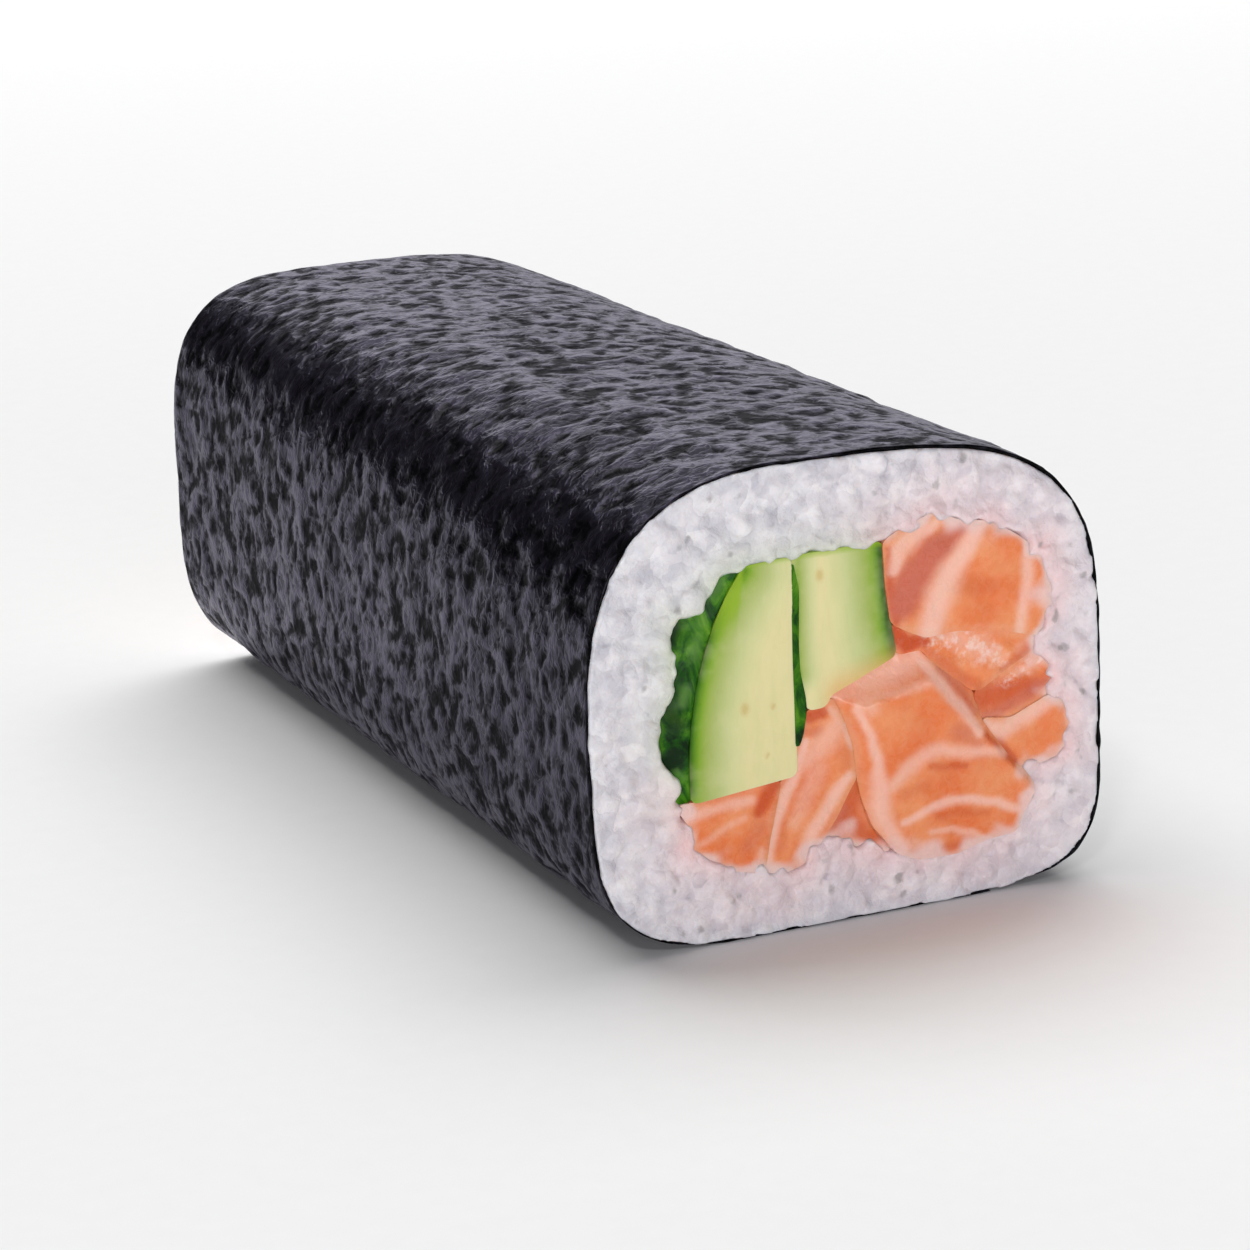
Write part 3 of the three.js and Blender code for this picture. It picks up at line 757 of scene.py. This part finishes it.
# Faces of the centre block, as (start, end, slope): each falls away beyond a line.
BLOCK_FACES = [
    ((1.2, 18.4), (7.3, 19.8), 0.6),
    ((7.3, 19.8), (11.3, 15.2), 0.6),
    ((2.2, 9.0), (0.9, 18.4), 0.5),
]
BLOCK_FALL = 1.5
LUMP_SIZE, LUMP_HEIGHT = 2.6, 0.16
ROUGH_SIZE, ROUGH_HEIGHT = 0.9, 0.05
GROOVE_DEPTH = 0.08
FILM_AND_LIGHT_WIDTH, FILM_AND_LIGHT = 0.6, 0.14  # pale film along the edges of each piece, partly painted light that lifts the shade in the seams
# Starch whitening along the rice, wide enough to be also painted light over the shade where the
# rice laps onto the filling.
STARCH_AND_LIGHT_WIDTH, STARCH_AND_LIGHT = 1.5, 0.9


def block_height(flat):
    x, z = flat.T
    fall = np.zeros(len(flat))
    for (xa, za), (xb, zb), slope in BLOCK_FACES:
        beyond = ((xb - xa) * (z - za) - (zb - za) * (x - xa)) / math.hypot(xb - xa, zb - za)
        fall = np.maximum(fall, slope * np.maximum(beyond, 0))
    return SALMON["salmon_centre_block"]["out"] - BLOCK_FALL * np.tanh(fall / BLOCK_FALL)


def smear(flat):
    """Where starch from the rice has whitened the edge of the filling, spread wide enough to be
    also painted light that lifts the shade where the rice laps over it.
    """
    reach = gap_to(HOLLOW, flat) + 1.7 * noise_at(flat, 1.8, 12)
    return STARCH_AND_LIGHT * (1 - smoothstep(reach, 0.0, STARCH_AND_LIGHT_WIDTH))


def salmon_pieces(material):
    for node, marks in SALMON.items():
        outline = section(node)[0]

        def height(flat):
            base = block_height(flat) if node == "salmon_centre_block" else marks["out"]
            return (base + LUMP_HEIGHT * noise_at(flat, LUMP_SIZE, 7)
                    - GROOVE_DEPTH * strokes(flat, marks.get("fat", []))
                    + marks.get("rough", ROUGH_HEIGHT) * noise_at(flat, ROUGH_SIZE, 8))

        def paint(flat):
            values = {key: strokes(flat, marks.get(key, []))
                      for key in ("fat", "deep", "rose", "painted_glint")}
            reach = gap_to(outline, flat) + 0.35 * noise_at(flat, 1.4, 13)
            # A pale edge on each piece, partly its own film and partly painted light that lifts the
            # shade in the seams; none where the dark orange is.
            film_and_light = FILM_AND_LIGHT * (1 - smoothstep(reach, 0.0, FILM_AND_LIGHT_WIDTH)) * (1 - values["deep"])
            values["fat"] = np.maximum(values["fat"], film_and_light)
            values["smear"] = smear(flat)
            return values

        filling_piece(node, height, material, paint, SALMON_DIP)


# ---- cucumber ----
# Seeds in the batons, as (x, z, size)
SEEDS = [(-9.8, 19.95, 0.36), (-7.9, 15.7, 0.16), (-2.6, 30.3, 0.34), (-7.2, 19.8, 0.2)]
RIGHT_SKIN = [(3.45, 32.4), (3.7, 28.5), (4.05, 25.2), (4.6, 22.4)]
PEEL_SIDE = [(-4.5, 32.2), (-4.6, 29.0), (-4.7, 25.0), (-4.6, 22.0)]
SKIN_LIGHTS = [
    (0.6, 0.9, (-12.3, 30.2, 0.6), (-11.5, 30.8, 0.4)),
    (0.5, 0.9, (-13.6, 26.8, 0.4), (-14.0, 25.2, 0.5)),
    (0.7, 0.9, (-15.0, 22.4, 0.4), (-15.3, 21.2, 0.35)),
    (0.6, 0.9, (-15.9, 15.6, 0.25), (-15.4, 14.8, 0.25)),
]
SKIN_SHADES = [
    (0.9, 0.9, (-15.6, 27.8, 0.8), (-15.8, 26.4, 0.4)),
    (0.8, 0.9, (-16.4, 21.0, 0.7), (-15.8, 19.4, 0.8)),
]
LEFT_SKIN_X, LEFT_SKIN_Z = -9.2, (13.4, 31.9)  # greatest x, range of z
TOP_RIND = (31.75, 32.25)  # heights between which the tops of the batons turn green
BATON_SIZE, BATON_HEIGHT = 4.0, 0.08
SKIN_SLOPE, SKIN_REACH = 0.28, 4
PEEL_HUG = 0.12


def left_skin():
    """The arched edge of the left baton, from its foot upwards."""
    outline = grow(resample(section("cucumber_baton_left")[0], 0.3), HUG)
    x, z = outline.T
    outer = outline[(x < LEFT_SKIN_X) & (z > LEFT_SKIN_Z[0]) & (z < LEFT_SKIN_Z[1])]
    return outer[np.argsort(outer[:, 1])]


def paint_flesh(flat, skin, skin_depth, pale_side=None):
    """Attributes of a baton: rind is the distance to its skin, and wedge is its green peel."""
    x, z = flat.T
    rind = distance_to_path(flat, skin)[0] + skin_depth
    wedge = 0.8 * smoothstep(z, *TOP_RIND)
    if pale_side is None:
        peeled = smoothstep(-9.45 - 0.16 * (32 - z) - x, -0.15, 0.2) * smoothstep(z, 25.4, 29.5)
        wedge = np.maximum(0.85 * peeled, wedge)
    else:
        rind = np.minimum(rind, 1.0 + 2.2 * distance_to_path(flat, pale_side)[0])
    seed = np.zeros(len(flat))
    for seed_x, seed_z, size in SEEDS:
        ring = np.hypot(x - seed_x, (z - seed_z) * 0.7) / size
        seed = np.maximum(seed, 0.5 * np.exp(-((ring - 0.5) / 0.6) ** 2))
    blush = 0.75 * (1 - smoothstep(z - 0.25 * (x + 2), 19.6, 22.6)) * smoothstep(x, -3.5, -1)
    return {"rind": rind, "seed": seed, "wedge": wedge, "blush": blush}


def paint_skin(flat):
    return {"light": strokes(flat, SKIN_LIGHTS), "shade": strokes(flat, SKIN_SHADES)}


def cucumber_pieces(flesh, skin):
    arc = left_skin()

    def baton_height(out, seed):
        return lambda flat: out + BATON_HEIGHT * noise_at(flat, BATON_SIZE, seed)

    def skin_height(flat):
        reach, _ = distance_to_path(flat, arc)
        return 0.12 * noise_at(flat, 1.5, 33) - SKIN_SLOPE * np.minimum(reach, SKIN_REACH)

    filling_piece("cucumber_baton_left", baton_height(0.1, 31), flesh,
                  lambda flat: paint_flesh(flat, arc, 0.05), CUCUMBER_DIP)
    filling_piece("cucumber_baton_right", baton_height(-0.02, 32), flesh,
                  lambda flat: paint_flesh(flat, RIGHT_SKIN, -0.42, PEEL_SIDE), CUCUMBER_DIP)
    filling_piece("cucumber_skin_side", skin_height, skin, paint_skin, CUCUMBER_DIP)
    filling_piece("cucumber_peel", lambda flat: 0.12 + 0.04 * noise_at(flat, 2.0, 34),
                  skin, paint_skin, CUCUMBER_DIP, PEEL_HUG)


# ---- rice ----
# Until the end of rice_end, y is the depth behind the cut.
GRAIN_SIZES = (4.9, 2.35, 2.0)  # length, width and thickness
GRAIN_LEAST, GRAIN_MOST = (0.85, 0.88, 0.88), 1.12  # as shares of each size
GRAIN_SWELL = 1.12  # makes up for what the smoothing takes off
GRAIN_BEND = 0.16
GRAIN_SPACING = 1.95
GRAIN_DEPTH, DEPTH_SPREAD = 1.05, 0.35
GRAIN_TRIES = 26000
GRAIN_BOX = ((-26.0, 0.0), (26.0, 42.0))  # (x, z) corners of where they are tried
NORI_MARGIN, FILLING_MARGIN = 0.75, 0.55  # least distance from a grain's middle to each
GRAIN_AROUND, GRAIN_RINGS = 18, 10
CUT_FLATNESS = 0.78
CUT_WAVE_SIZE, CUT_WAVE = 2.6, 0.3
OVERLAP = 0.5  # how far grains may reach over the filling
STARCH_DEPTH, STARCH_BACK, STARCH_STEPS = 0.3, 3.2, 24
TORN_SIZE, TORN, TORN_LIMITS = 1.2, 1.3, (-0.65, 0.35)  # its ragged edge
STARCH_OVERLAP = 0.4  # how far it reaches over the filling
CLOT_SIZE, CLOT_HEIGHT, CRUMB_SIZE = 1.5, 0.3, 0.9
LIP_SIZE, LIP_HEIGHT = 2.0, 0.12
FUSE_STEP, FUSE_SHARE, FUSE_SMOOTHING = 0.2, 0.55, 4
PINK_REACH, GREEN_REACH = 2.4, 1.3
STAIN_SIZE, PIT_SPOT_SIZE = 3.5, 1.1
CORE_DEPTH = 2.4
CORE_LUMP_SIZE, CORE_LUMP = 1.4, 0.3
CORE_POINTS, CORE_STEPS, CORE_STATIONS = 150, 7, 9


def grain_shape():
    """A unit ball as a grid whose poles lie on X, with its faces."""
    spots = [(-1, 0, 0)]
    for r in range(1, GRAIN_RINGS):
        lat = math.pi * r / GRAIN_RINGS
        for k in range(GRAIN_AROUND):
            lon = 2 * math.pi * k / GRAIN_AROUND
            ring = math.sin(lat)
            spots.append((-math.cos(lat), ring * math.cos(lon), ring * math.sin(lon)))
    spots.append((1, 0, 0))
    last = len(spots) - 1
    tail = last - GRAIN_AROUND
    faces = []
    for k in range(GRAIN_AROUND):
        ahead = (k + 1) % GRAIN_AROUND
        faces.append((0, 1 + ahead, 1 + k))
        faces.append((last, tail + k, tail + ahead))
        for a in range(1, tail, GRAIN_AROUND):
            b = a + GRAIN_AROUND
            faces.append((a + k, a + ahead, b + ahead, b + k))
    return np.array(spots), faces


def scatter(hollow, rng):
    """Grain centres in the ring between hollow and nori, no two closer than the spacing."""
    tries = rng.uniform(*GRAIN_BOX, (GRAIN_TRIES, 2))
    angle, radius = around_hub(tries)
    _, edge = around_hub(section_point(angle, FRONT, rice_depth(angle) + NORI_MARGIN))
    gap = gap_to(hollow, tries)
    cell = GRAIN_SPACING / math.sqrt(2)
    near = range(-2, 3)
    chosen = {}
    for spot in tries[(radius < edge) & ~inside(tries, hollow) & (gap > FILLING_MARGIN)]:
        across, up = int(spot[0] // cell), int(spot[1] // cell)
        close = (chosen.get((across + i, up + j)) for i in near for j in near)
        if all(other is None or np.hypot(*(other - spot)) >= GRAIN_SPACING for other in close):
            chosen[across, up] = spot
    return np.array(list(chosen.values()))


def grains(side, hollow):
    """Centres, long axes and half sizes of the grains near a cut."""
    rng = np.random.default_rng([SEED, side + 1, 0])
    flat = scatter(hollow, rng)
    count = len(flat)
    inwards = GRAIN_DEPTH + rng.uniform(-DEPTH_SPREAD, DEPTH_SPREAD, count)
    axes = rng.normal(0, 1, (count, 3)) * (1, 0.75, 1)
    axes /= np.linalg.norm(axes, axis=1)[:, None]
    halves = np.column_stack([size * rng.uniform(least, GRAIN_MOST, count)
                              for size, least in zip(GRAIN_SIZES, GRAIN_LEAST)]) / 2
    return at_y(flat, inwards), axes, halves


def rice_end(side, hollow):
    """The stuck-together grains at one cut end, -1 for the front and 1 for the back."""
    rng = np.random.default_rng([SEED, side + 1, 9])
    shape, shape_faces = grain_shape()
    along, across, up = shape.T[..., None]
    bodies, faces = [], []
    for centre, axis, (long, broad, deep) in zip(*grains(side, hollow)):
        spare = np.array([0.3, 1.0, 0.2]) if abs(axis[1]) < 0.8 else np.array([1.0, 0.1, 0.0])
        wide = np.cross(axis, spare)
        wide /= np.linalg.norm(wide)
        thick = np.cross(axis, wide)
        turn = rng.uniform(0, math.pi)
        wide, thick = (wide * math.cos(turn) + thick * math.sin(turn),
                       thick * math.cos(turn) - wide * math.sin(turn))
        bend = rng.normal(0, GRAIN_BEND) * along ** 2
        start = len(bodies) * len(shape)
        bodies.append(centre + along * long * axis
                      + (across * broad * GRAIN_SWELL + bend) * wide
                      + up * deep * GRAIN_SWELL * thick)
        faces.extend(tuple(start + v for v in face) for face in shape_faces)
    spots = trim_grains(np.vstack(bodies), hollow, side)
    plate, plate_faces = starch_plate(hollow, side)
    faces += [tuple(v + len(spots) for v in face) for face in plate_faces]
    spots, faces = fuse(np.vstack([spots, plate]), faces)
    spots[:, 1] = side * (BACK - spots[:, 1])
    return spots, [face[::-side] for face in faces]


def trim_grains(spots, hollow, side):
    """Flattens grains at the knife's cut, and keeps them off the nori and the filling."""
    flat = spots[:, [0, 2]]
    cut = -0.05 - CUT_WAVE * noise_at(flat, CUT_WAVE_SIZE, 50)
    spots[:, 1] -= CUT_FLATNESS * np.minimum(spots[:, 1] - cut, 0)
    gap, where = distance_to_path(flat, hollow, closed=True)
    over = inside(flat, hollow)
    closed = np.vstack([hollow, hollow[:1]])
    nearest = np.column_stack([np.interp(where, np.arange(len(closed)), line)
                               for line in closed.T])
    push = np.where(gap > 1e-6, OVERLAP * np.tanh(gap / OVERLAP) / np.maximum(gap, 1e-6), 1)
    flat[over] = nearest[over] + (flat[over] - nearest[over]) * push[over, None]
    angle, radius = around_hub(flat)
    overhang = nori_cover(angle) * smoothstep(-spots[:, 1], -0.5, -0.1)
    depth = rice_depth(angle) * (1 - overhang) + 0.02
    _, room = around_hub(section_point(angle, side * (BACK - spots[:, 1]), depth))
    scale = (radius - np.maximum(radius - room, 0)) / radius
    flat = (flat - (HUB_X, HUB_Z)) * scale[:, None] + (HUB_X, HUB_Z)
    return at_y(flat, spots[:, 1])


def starch_plate(hollow, side):
    """The sticky mass round the grains. Where it hides the nori's edge it swells over it."""
    inner = resample(hollow, 0.3)
    torn = np.clip(TORN * noise_at(inner, TORN_SIZE, 90 + side), *TORN_LIMITS)
    inner = grow(inner, torn[:, None] - STARCH_OVERLAP)
    angle, _ = around_hub(inner)
    cover, depth = nori_cover(angle), rice_depth(angle)
    sheet = section_point(angle, side * BACK, depth + 0.05)
    lip_height = LIP_HEIGHT * (1 + noise_at(sheet, LIP_SIZE, 80 + side)) * cover
    lip = section_point(angle, side * BACK, depth * (1 - cover) + 0.04 + lip_height)
    behind = np.full(len(inner), STARCH_BACK)
    loops = [(inner, behind)]
    for share in np.arange(STARCH_STEPS + 1) / STARCH_STEPS:
        flat = inner + (lip - inner) * share
        inset = np.linalg.norm(flat - inner, axis=1)
        crumbs = 0.12 + 0.25 * (1 - smoothstep(inset, 0.5, 1.5))
        lumps = (CLOT_HEIGHT * noise_at(flat, CLOT_SIZE, 70 + side)
                 + crumbs * noise_at(flat, CRUMB_SIZE, 74 + side))
        swell = cover * share ** 6
        level = STARCH_DEPTH * smoothstep(inset, 0.9, 2.2) - 0.1
        level += 0.45 * (1 - smoothstep(inset, 0, 0.3))
        loops.append((flat, level * (1 - swell) - 0.3 * swell + lumps * (1 - 0.5 * swell)))
    rim = loops[-1][1]
    loops += [(lip, rim + 0.5), (sheet, rim + 1.0), (sheet, behind)]
    spots = np.vstack([at_y(flat, y) for flat, y in loops])
    return spots, [(a, d, c, b) for a, b, c, d in tube(len(loops), len(inner))]


def fuse(spots, faces):
    """One closed skin round overlapping bodies, with their creases softened."""
    body = new_object("loose", new_mesh("loose", spots, faces))
    remesh = body.modifiers.new("skin", "REMESH")
    remesh.mode = "VOXEL"
    remesh.voxel_size = FUSE_STEP * MM
    soften = body.modifiers.new("soften", "SMOOTH")
    soften.factor, soften.iterations = 0.5, FUSE_SMOOTHING
    thin_out = body.modifiers.new("thin out", "DECIMATE")
    thin_out.ratio = FUSE_SHARE
    graph = bpy.context.evaluated_depsgraph_get()
    skin = bpy.data.meshes.new_from_object(body.evaluated_get(graph))
    bpy.data.objects.remove(body)
    spots = np.array([v.co for v in skin.vertices]) / MM
    faces = [tuple(polygon.vertices) for polygon in skin.polygons]
    bpy.data.meshes.remove(skin)
    return spots, faces


def rice_topping(hollow, material):
    """The grains that show at both cut ends, as one piece."""
    (front, faces), (back, back_faces) = (rice_end(side, hollow) for side in (-1, 1))
    world = np.vstack([front, back])
    faces += [tuple(v + len(front) for v in face) for face in back_faces]
    piece = make_piece("rice_grains", "rice", world, faces, material, rice_tints(world))


def rice_tints(world):
    """Painted light reflected from the filling: pink near the salmon and a little over the right
    side, green near the cucumber; and small grey spots of painted shade in pits.
    """
    flat = world[:, [0, 2]]

    def reach(nodes):
        return np.min([gap_to(section(node)[0], flat) for node in nodes], axis=0)

    salmon = reach(SALMON)
    cucumber = reach(("cucumber_skin_side", "cucumber_baton_left", "cucumber_baton_right"))
    patch = noise_at(world, STAIN_SIZE, 60)
    pink = np.clip(0.75 * np.exp(-salmon / PINK_REACH) * (1 + 0.7 * patch), 0, 1)
    pink = np.maximum(pink, 0.16 * smoothstep(world[:, 0], 2, 12))
    green = np.clip(0.7 * np.exp(-cucumber / GREEN_REACH) * (1 + 0.5 * patch), 0, 1) * (1 - pink)
    pit = smoothstep(noise_at(world, PIT_SPOT_SIZE, 61), 0.5, 0.66) * 0.55
    return {"pink": pink, "green": green, "pit": pit}


def rice_core(hollow, material):
    """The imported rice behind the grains, a little short of both cuts."""
    inner = grow(smooth_loop(resample(hollow, 0.4), 2), 0.05)
    inner = resample(inner, path_length(hollow) / CORE_POINTS)
    front, *middle, back = np.linspace(FRONT + CORE_DEPTH, BACK - CORE_DEPTH, CORE_STATIONS)
    shares = [k / CORE_STEPS for k in range(CORE_STEPS + 1)]
    loops = [core_ring(inner, front, share, 1) for share in shares]
    loops += [core_ring(inner, y, 1.0, 0) for y in middle]
    loops += [core_ring(inner, back, share, -1) for share in reversed(shares)]
    spots = np.vstack(loops)
    piece = make_piece("rice_core", "rice", spots, tube(len(loops), len(inner)), material,
                       rice_tints(spots))


def core_ring(inner, y, share, bulge):
    """A ring of the core at y, at a share of the way from the hollow to the nori."""
    angle, _ = around_hub(inner)
    outer = section_point(angle, y, rice_depth(angle) + 0.08)
    flat = inner + (outer - inner) * share
    lumps = bulge * CORE_LUMP * noise_at(flat, CORE_LUMP_SIZE, 70) * math.sin(math.pi * share)
    return at_y(flat, y + lumps)


# ---- stage, light and camera ----
CAMERA_AZIMUTH, CAMERA_ELEVATION = 203.63, 15.61
CAMERA_ROLL = math.radians(-2.33)
CAMERA_DISTANCE = 399.25
CAMERA_AIM = (-2.04, -12.61)
FOCAL_PIXELS, FRAME_PIXELS = 4186.2, 1250
FLOOR_HALF = 6000  # each way
WORLD_LIGHT, BACKDROP = 0.06, 0.9  # light from all round, and the tone behind the floor


def direction(azimuth, elevation):
    """A unit vector from angles in degrees. Azimuth 0 is behind the roll and 90 is right of it."""
    a, e = math.radians(azimuth), math.radians(elevation)
    return Vector((math.sin(a) * math.cos(e), math.cos(a) * math.cos(e), math.sin(e)))


def make_camera():
    data = bpy.data.cameras.new("camera")
    data.sensor_fit = "HORIZONTAL"
    data.sensor_width = 36.0
    data.lens = data.sensor_width * FOCAL_PIXELS / FRAME_PIXELS
    data.clip_start, data.clip_end = 0.01, 20
    camera = new_object("camera", data)
    back = direction(CAMERA_AZIMUTH, CAMERA_ELEVATION)
    right = (-back).cross(Vector((0, 0, 1))).normalized()
    up = right.cross(-back)
    c, s = math.cos(CAMERA_ROLL), math.sin(CAMERA_ROLL)
    across, upward = c * right + s * up, c * up - s * right
    place = back * CAMERA_DISTANCE - across * CAMERA_AIM[0] - upward * CAMERA_AIM[1]
    turn = Matrix((across, upward, back)).transposed()
    camera.matrix_world = Matrix.Translation(place * MM) @ turn.to_4x4()
    bpy.context.scene.camera = camera


def make_floor():
    corners = np.array([(-1, -1, 0), (1, -1, 0), (1, 1, 0), (-1, 1, 0)]) * FLOOR_HALF
    floor = new_object("floor", new_mesh("floor", corners, [(0, 1, 2, 3)]))
    floor.data.materials.append(floor_material())


def soft_box(name, azimuth, elevation, distance, width, height, power, tint=(1, 1, 1)):
    """A rectangular light, in metres, facing the middle of the roll."""
    data = bpy.data.lights.new(name, "AREA")
    data.shape = "RECTANGLE"
    data.size, data.size_y = width, height
    data.energy = power
    data.color = tint
    light = new_object(name, data)
    toward = direction(azimuth, elevation)
    light.location = Vector((0, 0, 0.02)) + toward * distance
    light.rotation_mode = "QUATERNION"
    light.rotation_quaternion = toward.to_track_quat("Z", "Y")


def light_scene():
    world = bpy.data.worlds.new("studio")
    world.use_nodes = True
    bpy.context.scene.world = world
    nodes, links = world.node_tree.nodes, world.node_tree.links
    seen = nodes.new("ShaderNodeLightPath").outputs["Is Camera Ray"]
    strength = nodes.new("ShaderNodeMapRange")
    strength.inputs["To Min"].default_value = WORLD_LIGHT
    strength.inputs["To Max"].default_value = BACKDROP
    links.new(seen, strength.inputs["Value"])
    links.new(strength.outputs["Result"], nodes["Background"].inputs["Strength"])
    nodes["Background"].inputs["Color"].default_value = (1.0, 1.0, 1.0, 1.0)
    soft_box("overhead", 12, 62, 4.5, 6.6, 3.4, 252)
    soft_box("back_right", 25, 16, 1.2, 0.9, 0.38, 1.8)
    soft_box("front_fill", 196, 8, 3.0, 4.0, 0.7, 56, (0.96, 0.94, 1.0))
    soft_box("glint", 212, 40, 0.9, 0.08, 0.08, 0.7)
    bpy.context.scene.view_settings.view_transform = "Standard"


# ---- the roll ----
make_camera()
make_floor()
light_scene()
HOLLOW = section("rice")[1]
rice_look = rice_material()
nori_sheet(nori_material())
salmon_pieces(salmon_material())
cucumber_pieces(cucumber_flesh_material(), cucumber_skin_material())
rice_core(HOLLOW, rice_look)
rice_topping(HOLLOW, rice_look)
